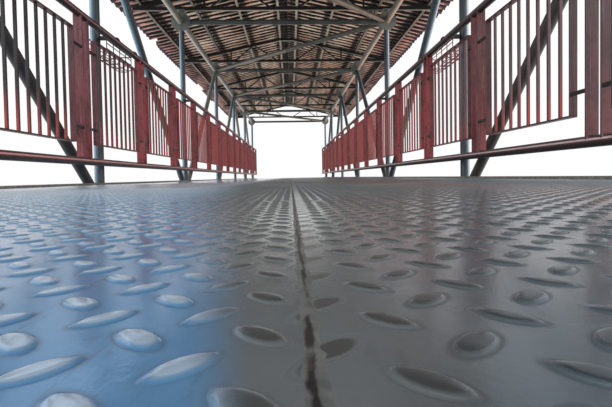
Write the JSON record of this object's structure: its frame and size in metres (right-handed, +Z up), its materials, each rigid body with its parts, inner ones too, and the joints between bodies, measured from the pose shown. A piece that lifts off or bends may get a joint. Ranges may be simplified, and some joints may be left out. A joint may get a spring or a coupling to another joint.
{
  "type": "covered steel pipe footbridge",
  "caption": "Covered footbridge of welded steel pipe trusses with a chequer-plate deck, barred railings and a low corrugated gable roof on short pipe piers.",
  "frame": {"origin": "middle of the bridge, on the ground under its feet", "axes": "X across the bridge, Y along it in the walking direction, Z up"},
  "size_m": [4.6676, 16.88, 4.4539],
  "materials": {
    "truss_paint": "grey-blue paint, weathered, satin",
    "dark_steel": "dark paint, dusty, matt",
    "rail_paint": "red-brown paint, weathered and chipped",
    "deck_steel": "chequer plate, worn and polished by feet",
    "roof_paint": "red-brown paint, streaked and dirty"
  },
  "bodies": {
    "root": {"bottom_chord_left": "truss_paint", "bottom_chord_right": "truss_paint", "top_chord_left": "truss_paint", "top_chord_right": "truss_paint", "verticals_left": "truss_paint", "verticals_right": "truss_paint", "diagonals_left": "truss_paint", "diagonals_right": "truss_paint", "cross_pipes": "truss_paint", "bottom_laterals": "truss_paint", "top_struts": "truss_paint", "top_laterals": "truss_paint", "gussets_left": "truss_paint", "gussets_right": "truss_paint", "pier_columns": "truss_paint", "pier_ties": "truss_paint", "base_plates": "dark_steel", "base_ribs": "dark_steel", "cap_plates": "dark_steel", "saddles": "dark_steel", "stringers": "dark_steel", "end_plates": "dark_steel", "roof_truss_1": "dark_steel", "roof_truss_2": "dark_steel", "roof_truss_3": "dark_steel", "roof_truss_4": "dark_steel", "roof_truss_5": "dark_steel", "roof_truss_6": "dark_steel", "roof_truss_7": "dark_steel", "roof_stubs": "dark_steel", "purlins_left": "dark_steel", "purlins_right": "dark_steel", "handrail_left": "rail_paint", "handrail_right": "rail_paint", "low_rail_left": "rail_paint", "low_rail_right": "rail_paint", "rail_posts_left": "rail_paint", "rail_posts_right": "rail_paint", "rail_panels_left": "rail_paint", "rail_panels_right": "rail_paint", "rail_brackets": "rail_paint", "deck_plates_left": "deck_steel", "deck_plates_right": "deck_steel", "roof_sheets_left": "roof_paint", "roof_sheets_right": "roof_paint", "ridge_cap": "roof_paint"}
  },
  "joints": []
}
